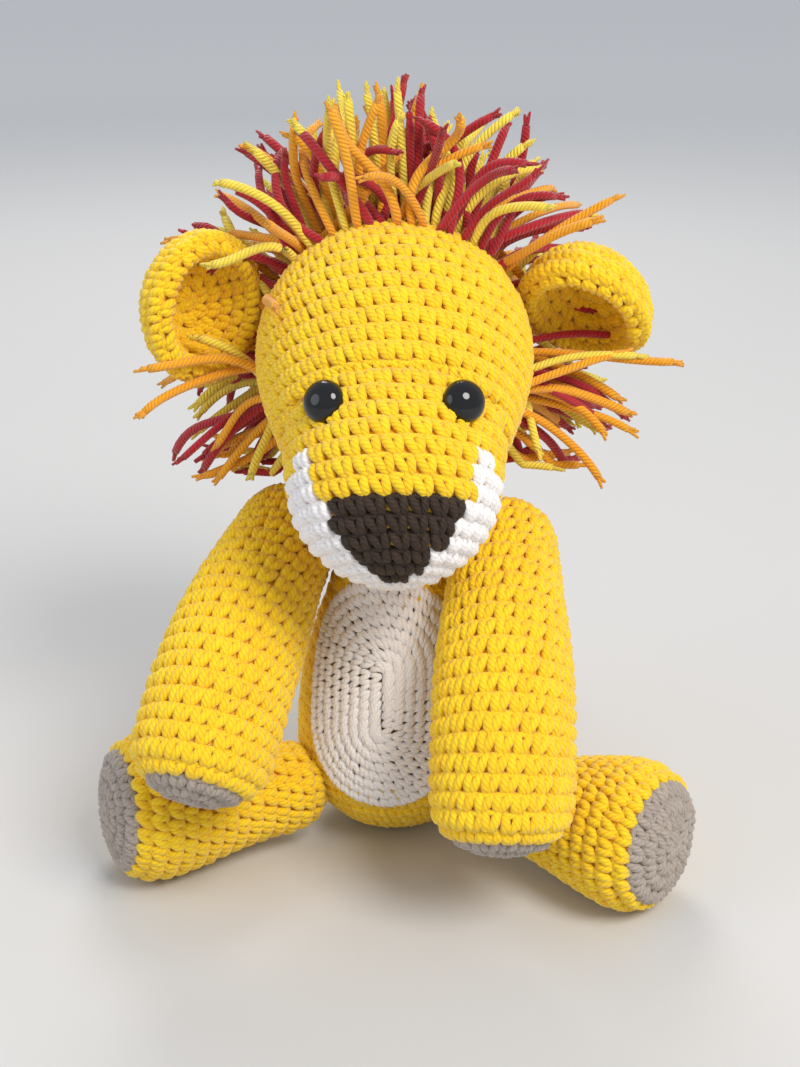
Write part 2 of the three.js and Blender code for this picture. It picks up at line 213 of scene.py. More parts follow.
def yarn_recipe(name, light, deep_and_shaded, shine=0.35, ply_depth=0.22 * MM):
    recipe = Recipe(name)
    strand = recipe.node("ShaderNodeAttribute", {"attribute_name": "strand"}, output=1)
    parts = {
        key: recipe.node("ShaderNodeSeparateXYZ", None, {0: strand}, key) for key in ("X", "Y", "Z")
    }
    tone = recipe.node("ShaderNodeAttribute", {"attribute_name": "tone"}, output=2)
    around = parts["Z"].maths("ARCTAN2", parts["Y"])
    turn = around + parts["X"] * (2 * math.pi / PLY_PITCH)
    ply = (turn * (PLIES / 2)).maths("SINE").maths("ABSOLUTE")
    fibre_place = recipe.node(
        "ShaderNodeCombineXYZ", None, {0: turn * FIBRES, 1: parts["X"] / MM * 0.35, 2: tone * 40})
    fibre = recipe.node(
        "ShaderNodeTexNoise", {"noise_dimensions": "3D"},
        {"Vector": fibre_place, "Scale": 1.0, "Detail": 3.0, "Roughness": 0.6})
    wear = recipe.node("ShaderNodeTexNoise", None, {"Scale": 160.0, "Detail": 2.0})

    # The grooves between the plies are darkened in the colour, which is painted shade; tone, fibre and
    # wear vary it at random.
    painted_groove_shade = (1 - ply) ** 3
    shade_and_tone = painted_groove_shade * 0.55 + tone * 0.3 + fibre * 0.45 + wear * 0.3 - 0.4
    shade_and_tone = recipe.node("ShaderNodeClamp", None, {0: shade_and_tone})
    colour = recipe.mix(shade_and_tone, light, deep_and_shaded)
    height = ply ** 0.6 + fibre * 0.45
    normal = recipe.node(
        "ShaderNodeBump", None, {"Height": height, "Strength": 0.8, "Distance": ply_depth})
    return recipe.surface(
        Base_Color=colour,
        Roughness=fibre * 0.3 + 0.5,
        Normal=normal,
        Sheen_Weight=shine,
        Sheen_Roughness=0.45,
        Specular_IOR_Level=0.35,
    )


# %% The yarns of this lion
# Each yarn's second colour is its darker tone and also the painted shade in its grooves.
YELLOW = yarn_recipe("yellow_yarn", (0.98, 0.68, 0.006), (0.90, 0.40, 0.0))
WHITE = yarn_recipe("white_yarn", (0.93, 0.90, 0.89), (0.80, 0.73, 0.72), ply_depth=0.14 * MM)
BROWN = yarn_recipe("brown_yarn", (0.040, 0.021, 0.012), (0.010, 0.005, 0.003), shine=0.06)
TAUPE = yarn_recipe("taupe_yarn", (0.44, 0.37, 0.31), (0.25, 0.20, 0.17))
MANE = {
    "mane_orange": yarn_recipe("mane_orange", (1.0, 0.45, 0.01), (0.85, 0.25, 0.0), ply_depth=0.5 * MM),
    "mane_red": yarn_recipe("mane_red", (0.52, 0.008, 0.022), (0.22, 0.002, 0.006), ply_depth=0.5 * MM),
    "mane_lemon": yarn_recipe("mane_lemon", (1.0, 0.82, 0.09), (0.95, 0.58, 0.02), ply_depth=0.5 * MM),
}

# %% [markdown]
# ## Laying yarn
#
# A piece of yarn is a tube: rings of points round a path, closed to a point at each end where
# it dives into the fabric. A lion needs many thousands of them, so they are made as arrays of
# numbers, a whole mesh of tubes at a time. The tubes are smooth: the plies are in the recipe.

# %% Tubes of yarn
random = np.random.default_rng(7)


def unit(vectors):
    return vectors / np.linalg.norm(vectors, axis=-1, keepdims=True)


def lay_yarn(name, paths, facing, radii, material, sides=8):
    """One mesh of many tubes. paths and facing are (tubes, points, 3), and radii (tubes, points)."""
    tubes, points, _ = paths.shape
    along = unit(np.gradient(paths, axis=1))
    out = unit(facing - (facing * along).sum(2, keepdims=True) * along)
    across = np.cross(along, out)
    angles = np.arange(sides) * 2 * np.pi / sides
    cos, sin = np.cos(angles), np.sin(angles)
    rings = paths[:, :, None] + radii[:, :, None, None] * (
        cos[:, None] * out[:, :, None] + sin[:, None] * across[:, :, None])
    tips = paths[:, [0, -1]]

    step = np.linalg.norm(np.diff(paths, axis=1), axis=2)
    length = np.concatenate([np.zeros((tubes, 1)), step.cumsum(1)], axis=1)
    length += random.uniform(0, 20 * MM, (tubes, 1))
    strand = np.empty((tubes, points, sides, 3))
    strand[..., 0] = length[:, :, None]
    strand[..., 1] = cos
    strand[..., 2] = sin
    tip_strand = np.zeros((tubes, 2, 3))
    tip_strand[..., 0] = length[:, [0, -1]]
    tip_strand[..., 1] = 1

    ring = np.arange(tubes * points * sides).reshape(tubes, points, sides)
    beside = np.roll(ring, -1, axis=2)
    quads = np.stack([ring[:, :-1], beside[:, :-1], beside[:, 1:], ring[:, 1:]], axis=-1).reshape(-1, 4)
    tip = ring.size + np.arange(tubes * 2).reshape(tubes, 2, 1)
    first = np.stack(np.broadcast_arrays(tip[:, 0], beside[:, 0], ring[:, 0]), axis=-1)
    last = np.stack(np.broadcast_arrays(tip[:, 1], ring[:, -1], beside[:, -1]), axis=-1)
    triangles = np.concatenate([first.reshape(-1, 3), last.reshape(-1, 3)])

    corners = np.concatenate([rings.reshape(-1, 3), tips.reshape(-1, 3)])
    strands = np.concatenate([strand.reshape(-1, 3), tip_strand.reshape(-1, 3)])
    tones = random.uniform(0, 1, tubes)
    tone = np.concatenate([np.repeat(tones, points * sides), np.repeat(tones, 2)])
    return make_mesh(name, corners, quads, triangles, material, strands, tone)


def make_mesh(name, corners, quads, triangles, material, strands=None, tone=None):
    mesh = bpy.data.meshes.new(name)
    mesh.vertices.add(len(corners))
    mesh.vertices.foreach_set("co", corners.ravel())
    loops = np.concatenate([quads.ravel(), triangles.ravel()])
    starts = np.concatenate([np.arange(len(quads)) * 4, quads.size + np.arange(len(triangles)) * 3])
    mesh.loops.add(len(loops))
    mesh.loops.foreach_set("vertex_index", loops)
    mesh.polygons.add(len(starts))
    mesh.polygons.foreach_set("loop_start", starts)
    mesh.polygons.foreach_set("use_smooth", np.ones(len(starts), bool))
    mesh.update(calc_edges=True)
    if strands is not None:
        mesh.attributes.new("strand", "FLOAT_VECTOR", "POINT").data.foreach_set("vector", strands.ravel())
        mesh.attributes.new("tone", "FLOAT", "POINT").data.foreach_set("value", tone)
    mesh.materials.append(material)
    piece = bpy.data.objects.new(name, mesh)
    bpy.context.scene.collection.objects.link(piece)
    return piece


def place_piece(piece, body, material_slot, *nodes, fill=None):
    """Rides a piece on its body, and hides the solids that it takes the place of."""
    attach(piece, body)
    if nodes:
        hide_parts(*nodes)
    return piece


# %% [markdown]
# ## Measuring a stuffed form
#
# Every stuffed form is turned about an axis. On the solid for its filling the two poles are the
# corners where the most edges meet, which gives the axis, and the rings of corners between them
# give the outline. The fabric lies outside the filling, so the outline is grown by the wall.
#
# An arm is turned and then curled. Its rings are found by walking from pole to pole, one edge
# at a time, and the rings' middles are the route that its axis follows. The form is made
# straight, and then every point on it is carried over to that route. A leg is straight, and is
# measured in the same way.

# %% Forms to crochet over
WALL = 4.6 * MM  # from the filling to the outside of the fabric
YARN_STANDS = 1.5 * MM  # how far the loops stand out from the surface they are laid on
SMOOTHING = 60  # how many times each outline's corners are eased
ROUGHLY_UP = (0, 0.2, 1)  # not the way that any limb or the tail runs
SAME_HEIGHT = 0.1 * MM  # corners nearer than this along the axis are on one ring
RING_CORNERS = 7  # fewer corners than this at one height are a cut, and not a ring


def smooth_line(points, steps=12):
    """A smooth curve through points, which leaves and meets the axis squarely."""
    mirrored = np.array([-1, 1])
    padded_line = np.vstack([points[1] * mirrored, points, points[-2] * mirrored])
    pieces = []
    way = np.linspace(0, 1, steps, endpoint=False)[:, None]
    for a, b, c, d in zip(padded_line, padded_line[1:], padded_line[2:], padded_line[3:]):
        pieces.append(0.5 * (
            2 * b + (c - a) * way + (2 * a - 5 * b + 4 * c - d) * way**2
            + (3 * b - a - 3 * c + d) * way**3))
    return np.vstack([*pieces, points[-1:]])


class Turned:
    """A surface turned about an axis. Places on it are given by turns round it and by the
    distance from its starting pole, measured over the surface."""

    def __init__(self, start, axis, line, narrow=1.0, up=(0, 0, 1)):
        self.first_round_at = 0.0
        self.start = np.array(start)
        self.axis = unit(np.array(axis))
        up = np.array(up) - np.dot(up, self.axis) * self.axis
        self.up = unit(up)
        self.side = np.cross(self.up, self.axis)
        self.narrow = narrow
        step = np.diff(line, axis=0)
        self.line = line
        self.distance = np.concatenate([[0], np.linalg.norm(step, axis=1).cumsum()])
        self.length = self.distance[-1]
        slope = unit(np.gradient(line, self.distance, axis=0))
        self.out = np.stack([slope[:, 1], -slope[:, 0]], axis=1)

    def girth(self, distance):
        """The length of one round of the surface."""
        ring = self.place(np.linspace(0, 1, 49), np.full(49, distance))[0]
        return np.linalg.norm(np.diff(ring, axis=0), axis=1).sum()

    def place(self, turns, distance):
        """Points and the directions out of the surface there. Turn 0 is uppermost."""
        if self.first_round_at:
            turns, distance = self.off_pole(turns, distance)
        distance = np.clip(distance, 0, self.length)
        values = [np.interp(distance, self.distance, column)[..., None]
                  for column in (self.line[:, 0], self.line[:, 1], self.out[:, 0], self.out[:, 1])]
        radius, height, out_round, out_along = values
        angle = (turns * 2 * math.pi)[..., None]
        spoke = np.cos(angle) * self.up + np.sin(angle) * self.side * self.narrow
        lean = np.cos(angle) * self.up + np.sin(angle) * self.side / self.narrow
        points = self.start + radius * spoke + height * self.axis
        return points, unit(lean * out_round + self.axis * out_along)

    def off_pole(self, turns, distance):
        """Where a round lies if the rounds begin below the pole and come square to the axis later."""
        way = np.clip(distance / self.length, 0, 1)
        shift = self.first_round_at * (1 - way * way * (3 - 2 * way))
        upwards = distance * np.cos(turns * 2 * np.pi) - shift
        sideways = distance * np.sin(turns * 2 * np.pi)
        return np.arctan2(sideways, upwards) / (2 * np.pi), np.hypot(upwards, sideways)


def corners_of(node):
    vertices = frame["nodes"][node].data.vertices
    corners = np.empty(len(vertices) * 3, np.float32)
    vertices.foreach_get("co", corners)
    return corners.reshape(-1, 3).astype(float)


def poles(node):
    """The two corners of a turned solid where the most edges meet."""
    places, number = np.unique(corners_of(node).round(6), axis=0, return_inverse=True)
    mesh = frame["nodes"][node].data
    edges = {tuple(sorted(number.ravel()[list(e.vertices)])) for e in mesh.edges}
    busy = np.bincount(np.array([e for e in edges if e[0] != e[1]]).ravel(), minlength=len(places))
    return places[np.argsort(busy)[-2:]]


def grown(line, by):
    """An outline moved outwards and smoothed, with its two ends kept on the axis."""
    step = unit(np.gradient(line, axis=0))
    line = line + by * np.stack([step[:, 1], -step[:, 0]], axis=1)
    for _ in range(SMOOTHING):
        line[1:-1] = (line[:-2] + 2 * line[1:-1] + line[2:]) / 4
    line[:, 0] = np.maximum(line[:, 0], 0)
    line[[0, -1], 0] = 0
    return line


def measured_form(node, start_near, grow=WALL - YARN_STANDS, up=(0, 0, 1)):
    """The surface to crochet over, from the solid for its filling, beginning at the pole
    nearest to a point."""
    start, end = sorted(poles(node), key=lambda pole: np.linalg.norm(pole - np.array(start_near)))
    length = np.linalg.norm(end - start)
    axis = (end - start) / length
    away = corners_of(node) - start
    heights = away @ axis
    radii = np.linalg.norm(away - heights[:, None] * axis, axis=1)
    rings = []
    for height in np.unique(heights.round(4)):
        on_ring = abs(heights - height) < SAME_HEIGHT
        if len(np.unique((away[on_ring] * 1e5).round(), axis=0)) >= RING_CORNERS:
            rings.append((radii[on_ring].max(), height))
    line = smooth_line(np.array([(0, 0), *rings, (0, length)]))
    return Turned(start, axis, grown(line, grow), up=up)


def spine(node, start_near):
    """The middles and radii of the rings of a turned solid that has been bent. Each ring is
    reached from the one before it by one edge, beginning at the pole nearest to a point."""
    places, number = np.unique(corners_of(node).round(6), axis=0, return_inverse=True)
    edges = np.array([e.vertices[:] for e in frame["nodes"][node].data.edges])
    edges = number.ravel()[edges]
    start = min(poles(node), key=lambda pole: np.linalg.norm(pole - np.array(start_near)))
    reached = np.linalg.norm(places - start, axis=1) < 0.01 * MM
    middles, radii = [start], [0.0]
    while not reached.all():
        touched = reached[edges]
        ring = np.unique(edges[touched.any(1)][~touched[touched.any(1)]])
        middles.append(places[ring].mean(0))
        radii.append(np.linalg.norm(places[ring] - middles[-1], axis=1).max())
        reached[ring] = True
    return np.array(middles), np.array(radii)


def route_along(points, steps=10):
    """A smooth curve through points in space."""
    ends = np.vstack([2 * points[0] - points[1], points, 2 * points[-1] - points[-2]])
    way = np.linspace(0, 1, steps, endpoint=False)[:, None]
    curve = [
        0.5 * (2 * b + (c - a) * way + (2 * a - 5 * b + 4 * c - d) * way**2
               + (3 * b - a - 3 * c + d) * way**3)
        for a, b, c, d in zip(ends, ends[1:], ends[2:], ends[3:])]
    return np.vstack([*curve, points[-1:]])


class Bent:
    """A turned surface made straight along +Z and then bent so that its axis follows a route."""

    def __init__(self, line, route):
        self.straight = Turned((0, 0, 0), (0, 0, 1), line, up=(0, 1, 0))
        self.length = self.straight.length
        self.curve = route_along(route)
        steps = np.linalg.norm(np.diff(self.curve, axis=0), axis=1)
        self.gone = np.concatenate([[0], steps.cumsum()])
        self.heading = unit(np.gradient(self.curve, self.gone, axis=0))

    def along_route(self, values, height):
        return np.stack([np.interp(height, self.gone, column) for column in values.T], axis=-1)

    def bend(self, points):
        height = np.clip(points[..., 2], 0, self.gone[-1])
        ahead = unit(self.along_route(self.heading, height))
        side = unit(np.cross(ahead, ROUGHLY_UP))
        over = np.cross(side, ahead)
        past = (points[..., 2] - height)[..., None] * ahead
        return (self.along_route(self.curve, height)
                + points[..., :1] * side + points[..., 1:2] * over + past)

    def girth(self, distance):
        return self.straight.girth(distance)

    def place(self, turns, distance):
        points, facing = self.straight.place(turns, distance)
        bent = self.bend(points)
        return bent, unit(self.bend(points + facing * MM) - bent)


ROUTE_STEP = 4 * MM  # the least distance between the points of a limb's route


def measured_limb(node, start_near):
    """The bent surface of a limb, beginning at its free end. Rings that lie close together share
    one section of the route, so that it never turns back."""
    middles, radii = spine(node, start_near)
    to_end = np.linalg.norm(middles - middles[-1], axis=1)
    marks = [0]
    for number, point in enumerate(middles):
        from_mark = np.linalg.norm(point - middles[marks[-1]])
        if min(from_mark, to_end[number]) > ROUTE_STEP:
            marks.append(number)
    route = middles[[*marks, -1]]
    sections = np.diff(route, axis=0)
    gone = np.concatenate([[0], np.linalg.norm(sections, axis=1).cumsum()])
    section = np.searchsorted(marks, np.arange(len(middles)), side="right") - 1
    heights = gone[section] + ((middles - route[section]) * unit(sections)[section]).sum(1)
    line = smooth_line(np.stack([radii, heights], axis=1))
    return Bent(grown(line, WALL - YARN_STANDS), route)


def middle(node):
    low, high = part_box(node)
    return np.array((low + high) / 2)


# %% [markdown]
# ## Single crochet
#
# Each stitch shows a V: two legs that come up out of one hole in the round below, and lean
# apart to the top of the stitch. Across the top lies the front loop, a short bar, and the V of
# the next round starts just above it. Worked in a spiral by a right hand, every round sits
# a little over a third of a stitch further on, so the Vs lean and the little holes form slanting lines.
#
# The template is measured in stitch widths, round heights and millimetres out of the surface.
# The belly patch leaves the front loop out, so that its Vs lie close like fine fabric.

# %% The stitch
STITCH_WIDTH = 4.6 * MM
ROUND_HEIGHT = 4.4 * MM
LEAN = 0.38  # how far each round is shifted, in stitches
LEG = np.array([
    (0.03, -0.14, -1.2), (0.09, 0.06, 0.00), (0.18, 0.33, 0.62), (0.27, 0.62, 0.72),
    (0.33, 0.88, 0.15), (0.34, 1.10, -1.0)])
LEG_RADII = np.array([0.6, 1.04, 1.32, 1.38, 1.18, 0.6])
BAR = np.array([
    (-0.60, 1.00, -1.0), (-0.42, 0.97, -0.20), (-0.15, 0.93, 0.18), (0.15, 0.93, 0.18),
    (0.42, 0.97, -0.20), (0.60, 1.00, -1.0)])
BAR_RADII = np.array([0.5, 0.78, 0.90, 0.90, 0.78, 0.5])
LOOPS = np.stack([LEG * (-1, 1, 1), LEG, BAR])
LOOP_RADII = np.stack([LEG_RADII, LEG_RADII, BAR_RADII]) * MM


class Fabric:
    """Loops that are laid but not yet a mesh, so that they can be sorted by colour."""

    def __init__(self, paths, facing, radii, spots, rounds):
        self.paths = paths
        self.facing = facing
        self.radii = radii
        self.spots = spots
        self.rounds = rounds

    def where(self, mask):
        return Fabric(self.paths[mask], self.facing[mask], self.radii[mask], self.spots[mask],
                      self.rounds[mask])

    def knit(self, name, material, mould=None):
        """The mesh. mould is a function that moves the paths' points."""
        paths = mould(self.paths) if mould else self.paths
        return lay_yarn(name, paths, self.facing, self.radii, material)

    def __str__(self):
        return f"{len(self.rounds)} loops in {self.rounds.max() + 1} rounds"


def crochet(surface, start=0.0, end=None, height=ROUND_HEIGHT, width=STITCH_WIDTH, lean=LEAN,
            seen=len(LOOPS)):
    """Rounds of single crochet over a surface, from one distance along it to another. seen is
    how many of each stitch's loops show."""
    shapes, thicknesses = LOOPS[:seen], LOOP_RADII[:seen]
    end = surface.length if end is None else end
    rounds = max(1, round((end - start) / height))
    height = (end - start) / rounds
    scale = height / ROUND_HEIGHT
    phase = 0.0
    laid = []
    for row in range(rounds):
        base = start + row * height
        count = max(5, round(surface.girth(base + height / 2) / width))
        phase += lean / count
        wobble = random.normal(0, 1, (3, count, 1, 1))
        across = shapes[..., 0] + lean * (shapes[..., 1] - 0.5) + wobble[0] * 0.035
        turns = phase + (np.arange(count)[:, None, None] + across) / count
        distance = base + height * (shapes[..., 1] + wobble[1] * 0.03)
        points, facing = surface.place(turns, distance)
        lift = shapes[..., 2] * scale + wobble[2] * 0.07 * (shapes[..., 2] > 0)
        plump = random.normal(1, 0.035, (count, 1, 1)) * scale
        loops = count * seen
        laid.append((
            (points + facing * lift[..., None] * MM).reshape(loops, -1, 3),
            facing.reshape(loops, -1, 3),
            (thicknesses * plump).reshape(loops, -1),
            points.mean(2).reshape(loops, 3),
            np.full(loops, row)))
    return Fabric(*[np.concatenate(part) for part in zip(*laid)])


LINING_DEPTH = 0.35 * MM


def lining(name, surface, material, mould=None, around=64):
    """The inner face of the fabric, which closes the form behind the loops."""
    distance = np.linspace(0, surface.length, max(12, round(surface.length / (2 * MM))))
    turns = np.arange(around) / around
    grid_turns, grid_distance = np.meshgrid(turns, distance[1:-1])
    points, facing = surface.place(grid_turns, grid_distance)
    points = points - facing * LINING_DEPTH
    ends = [surface.place(np.zeros(1), np.array([d])) for d in (distance[0], distance[-1])]
    ends = [(p - n * LINING_DEPTH)[0] for p, n in ends]
    ring = np.arange(points[..., 0].size).reshape(points.shape[:2])
    beside = np.roll(ring, -1, axis=1)
    quads = np.stack([ring[:-1], ring[1:], beside[1:], beside[:-1]], axis=-1).reshape(-1, 4)
    tip = ring.size
    first = np.stack([np.full(around, tip), ring[0], beside[0]], axis=-1)
    last = np.stack([np.full(around, tip + 1), beside[-1], ring[-1]], axis=-1)
    corners = np.concatenate([points.reshape(-1, 3), *[e[None] for e in ends]])
    if mould:
        corners = mould(corners)
    # With the yarn recipe these strand values fall in the grooves, so the lining takes the painted groove
    # shade and shows darker through the holes.
    strands = np.tile((0.0, 1.0, 0.0), (len(corners), 1))
    tone = np.full(len(corners), 0.6)
    return make_mesh(name, corners, quads, np.concatenate([first, last]), material, strands, tone)


# %% [markdown]
# ## Arms and legs
#
# Each limb is started at its end with a few rounds of grey-brown, then changes to yellow and
# is worked up to the body. A colour change falls between two rounds, and because every V is
# narrow at its foot, the new colour bites into the old one in little teeth.

# %% Arms and legs
PAD_ROUNDS = 3
SOLE_ROUNDS = 4
FULL = 0.95  # how tightly the forms are stuffed, from 0 to 1
ground = low.z + 0.15 * MM


def rest_on_ground(points):
    """Presses what would sink through the floor flat against it."""
    points = points.copy()
    points[..., 2] = np.maximum(points[..., 2], ground + YARN_STANDS)
    return points


def stuffed_limb(side, part, end_name, end_rounds, mould=None):
    body = f"{side}_{part}"
    tip = f"{side}_{end_name}"
    form = measured_limb(f"{body}_stuffing", middle(tip))
    fabric = crochet(form)
    wall = fabric.where(fabric.rounds >= end_rounds).knit(f"{body}_crochet", YELLOW, mould)
    end = fabric.where(fabric.rounds < end_rounds).knit(f"{tip}_crochet", TAUPE, mould)
    inside = lining(f"{body}_lining", form, YELLOW, mould)
    place_piece(wall, body, "yellow_yarn", f"{body}_shell", fill=FULL)
    place_piece(end, body, "taupe_yarn", tip)
    place_piece(inside, body, "yellow_yarn", f"{body}_stuffing")
    print(f"{body}: {fabric}")


for side in ("left", "right"):
    stuffed_limb(side, "arm", "paw_pad", PAD_ROUNDS)
    stuffed_limb(side, "leg", "sole", SOLE_ROUNDS, rest_on_ground)

# %% [markdown]
# ## Body and belly
#
# The body is a pear worked up from the seat. The belly is a separate oval in finer white
# yarn. It begins with a short upright chain and grows in ovals round it, and is sewn on.


# %% The body and its belly patch
class Oval:
    """Rounds about a short upright chain, laid on the front of a turned form."""

    def __init__(self, form, centre, chain):
        self.form = form
        self.centre = np.array(centre)
        self.chain = chain

    def girth(self, distance):
        return 4 * self.chain + 2 * math.pi * distance

    def place(self, turns, distance):
        distance = np.maximum(distance, 0.2 * MM)
        along = np.mod(turns + 0.25, 1) * self.girth(distance)  # from half-way up one side
        straight = 2 * self.chain
        bend = math.pi * distance
        second = along > straight + bend
        rest = np.where(second, along - straight - bend, along)
        angle = np.clip((rest - straight) / distance, 0, math.pi)
        across = distance * np.cos(angle)
        up = np.minimum(rest, straight) - self.chain + distance * np.sin(angle)
        flip = np.where(second, -1, 1)
        return self.on_form(self.centre[0] + flip * across, self.centre[2] + flip * up)

    def on_form(self, x, z):
        line, out = self.form.line, self.form.out
        height = z - self.form.start[2]
        radius, out_round, out_up = [
            np.interp(height, line[:, 1], column) for column in (line[:, 0], out[:, 0], out[:, 1])]
        angle = (x - self.form.start[0]) / radius
        sine, cosine = np.sin(angle), np.cos(angle)
        points = np.stack([
            self.form.start[0] + radius * sine, self.form.start[1] - radius * cosine, z], axis=-1)
        facing = np.stack([sine * out_round, -cosine * out_round, out_up], axis=-1)
        return points, unit(facing)


PATCH_STITCH = 3.1 * MM
PATCH_RISE = 1.5 * MM  # how far the patch lies over the body's own loops
PATCH_OVERLAP = 6 * MM  # how far the body's loops reach in under the patch's edge

body_form = measured_form("body_stuffing", (0, 0, 0), up=(0, 1, 0))
patch_low, patch_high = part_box("belly_patch")
patch_width = (patch_high.x - patch_low.x) / 2
patch_chain = (patch_high.z - patch_low.z) / 2 - patch_width
patch_middle = middle("belly_patch")
patch_form = measured_form(
    "body_stuffing", (0, 0, 0), grow=WALL - YARN_STANDS + PATCH_RISE, up=(0, 1, 0))
oval = Oval(patch_form, patch_middle, patch_chain)


def under_patch(spots, margin):
    """True for what the patch hides."""
    beside = abs(spots[:, 0] - patch_middle[0])
    above = np.maximum(abs(spots[:, 2] - patch_middle[2]) - patch_chain, 0)
    return (np.hypot(beside, above) < patch_width - margin) & (spots[:, 1] < body_form.start[1])


body_fabric = crochet(body_form)
seen = ~under_patch(body_fabric.spots, PATCH_OVERLAP)
body_piece = body_fabric.where(seen).knit("body_crochet", YELLOW, rest_on_ground)
place_piece(body_piece, "torso", "yellow_yarn", "body_shell", fill=FULL)
place_piece(lining("body_lining", body_form, YELLOW, rest_on_ground), "torso", "yellow_yarn",
            "body_stuffing")
patch_fabric = crochet(oval, start=0.5 * MM, end=patch_width, height=PATCH_STITCH,
                       width=PATCH_STITCH, lean=0.2, seen=2)
patch_piece = patch_fabric.knit("belly_patch_crochet", WHITE)
place_piece(patch_piece, "torso", "white_yarn", "belly_patch")
print(f"body: {body_fabric}, belly patch: {patch_fabric}")

# %% [markdown]
# ## Head
#
# The head is an egg that lies forwards and down, worked from under the chin so that its rounds
# cross the nose nearly level. Brown, white and yellow are changed within the rounds: each loop
# of a stitch takes its colour from where it lies on the face.

# %% The head
MUZZLE_RADIUS = 28 * MM
HEAD_STITCH = 4.2 * MM
HEAD_ROUND = 4.3 * MM
CHIN = 17 * MM  # how far below the head's pole its rounds begin
NOSE_ROUNDS = 8
WHITE_DEPTH = 20.5 * MM  # how far back along the head's axis the white reaches
BRIDGE = 19.3 * MM  # half the width of the yellow strip above the nose
BRIDGE_FLOOR = -6 * MM  # how low the strip comes, from the middle of the muzzle
FACE_SHARE = 0.62  # the share of the rounds that the face has, and the skull has the rest
# half the nose's width, by height above the middle of the muzzle
NOSE_HEIGHTS = np.array([-20, -15, -7, 1, 8]) * MM
NOSE_WIDTHS = np.array([1.5, 6.5, 12.6, 17.0, 18.0]) * MM

head_form = measured_form("head_stuffing", middle("nose"))
head_form.first_round_at = CHIN
head_fabric = crochet(head_form, height=HEAD_ROUND, width=HEAD_STITCH)
muzzle = head_form.start + head_form.axis * (MUZZLE_RADIUS - WALL)
spots = head_fabric.spots - muzzle
across = spots @ head_form.side
above = spots[:, 2]
depth = (head_fabric.spots - head_form.start) @ head_form.axis
is_nose = (
    (head_fabric.rounds < NOSE_ROUNDS) & (depth < MUZZLE_RADIUS)
    & (abs(across) < np.interp(above, NOSE_HEIGHTS, NOSE_WIDTHS)) & (above > NOSE_HEIGHTS[0]))
is_bridge = (abs(across) < BRIDGE) & (head_fabric.rounds >= NOSE_ROUNDS) & (above > BRIDGE_FLOOR)
is_white = (depth < WHITE_DEPTH) & ~is_nose & ~is_bridge
is_yellow = ~is_nose & ~is_white
last_round = head_fabric.rounds.max()
face = head_fabric.rounds < last_round * FACE_SHARE
for name, mask, material, material_slot, nodes in (
    ("nose_crochet", is_nose, BROWN, "brown_yarn", ("nose",)),
    ("muzzle_crochet", is_white, WHITE, "white_yarn", ("muzzle_cap",)),
    ("face_crochet", is_yellow & face, YELLOW, "yellow_yarn", ("head_shell",)),
    ("skull_crochet", is_yellow & ~face, YELLOW, "yellow_yarn", ()),
):
    piece = head_fabric.where(mask).knit(name, material)
    place_piece(piece, "head", material_slot, *nodes, fill=FULL)
    print(f"{name}: {mask.sum()} loops")
place_piece(lining("head_lining", head_form, YELLOW), "head", "yellow_yarn", "head_stuffing")

# %% [markdown]
# ## Eyes
#
# Safety eyes are moulded domes on a stalk. The dome is a turned profile with a fine lip, in a
# polished black plastic with a clear coat. Each is pulled in by its washer and tips forwards
# in its hole. The washers themselves stay as the solids they are, in a white plastic.

# %% The eyes
EYE_RADIUS = 6 * MM
EYE_HEIGHT = 5.4 * MM
EYE_LIP = 0.7 * MM  # the height of the straight edge under the dome
SEATED = 1.5 * MM  # how far the eye goes down between the loops
LOOKS_AHEAD = 0.55  # how far each dome is tipped forwards in its hole

eye_black = Recipe("eye_black")
scuffs = eye_black.node("ShaderNodeTexNoise", None, {"Scale": 900.0, "Detail": 4.0})
eye_black.surface(
    Base_Color=eye_black.mix(scuffs, (0.004, 0.004, 0.005), (0.012, 0.012, 0.014)),
    Roughness=scuffs * 0.08 + 0.03,
    Specular_IOR_Level=0.25,
    Coat_Weight=0.4,
    Coat_Roughness=0.02,
)

inside_head = middle("head_stuffing")
for side in ("left", "right"):
    stalk, tip = sorted(poles(f"{side}_eye"), key=lambda pole: np.linalg.norm(pole - inside_head))
    axis = unit(tip - stalk)
    seat = tip - axis * EYE_HEIGHT
    axis = unit(axis - np.array([0, LOOKS_AHEAD, 0]))
    swing = np.linspace(0, math.pi / 2, 24)
    dome = [(EYE_RADIUS * math.cos(a), EYE_LIP + (EYE_HEIGHT - EYE_LIP) * math.sin(a)) for a in swing]
    outline = [(0, -SEATED), (EYE_RADIUS * 0.8, -SEATED), (EYE_RADIUS * 0.97, 0), *dome[:-1],
               (0, EYE_HEIGHT)]
    eye_form = Turned(seat, axis, np.array(outline))
    eye = lining(f"{side}_eye_dome", eye_form, eye_black.material, around=48)
    place_piece(eye, "head", "eye_black", f"{side}_eye")

washer_plastic = Recipe("washer_plastic")
grain = washer_plastic.node("ShaderNodeTexNoise", None, {"Scale": 700.0, "Detail": 3.0})
washer_plastic.surface(
    Base_Color=washer_plastic.mix(grain, (0.80, 0.79, 0.76), (0.72, 0.71, 0.68)),
    Roughness=grain * 0.2 + 0.4)
for side in ("left", "right"):
    frame["nodes"][f"{side}_eye_washer"].data.materials.clear()
    frame["nodes"][f"{side}_eye_washer"].data.materials.append(washer_plastic.material)

# %% [markdown]
# ## Ears
#
# An ear is a thick cup: one skin of crochet over the back, rolled over the rim and down into
# the cup. It is narrower across than it is tall.

# %% The ears
EAR_RADIUS = 18 * MM
EAR_DEPTH = 13 * MM
EAR_HALF_WALL = 2.2 * MM  # half the cup's thickness under the loops
EAR_NARROW = 0.85
EAR_WALL = 6 * MM
EAR_FULL = 0.6  # softer than the rest


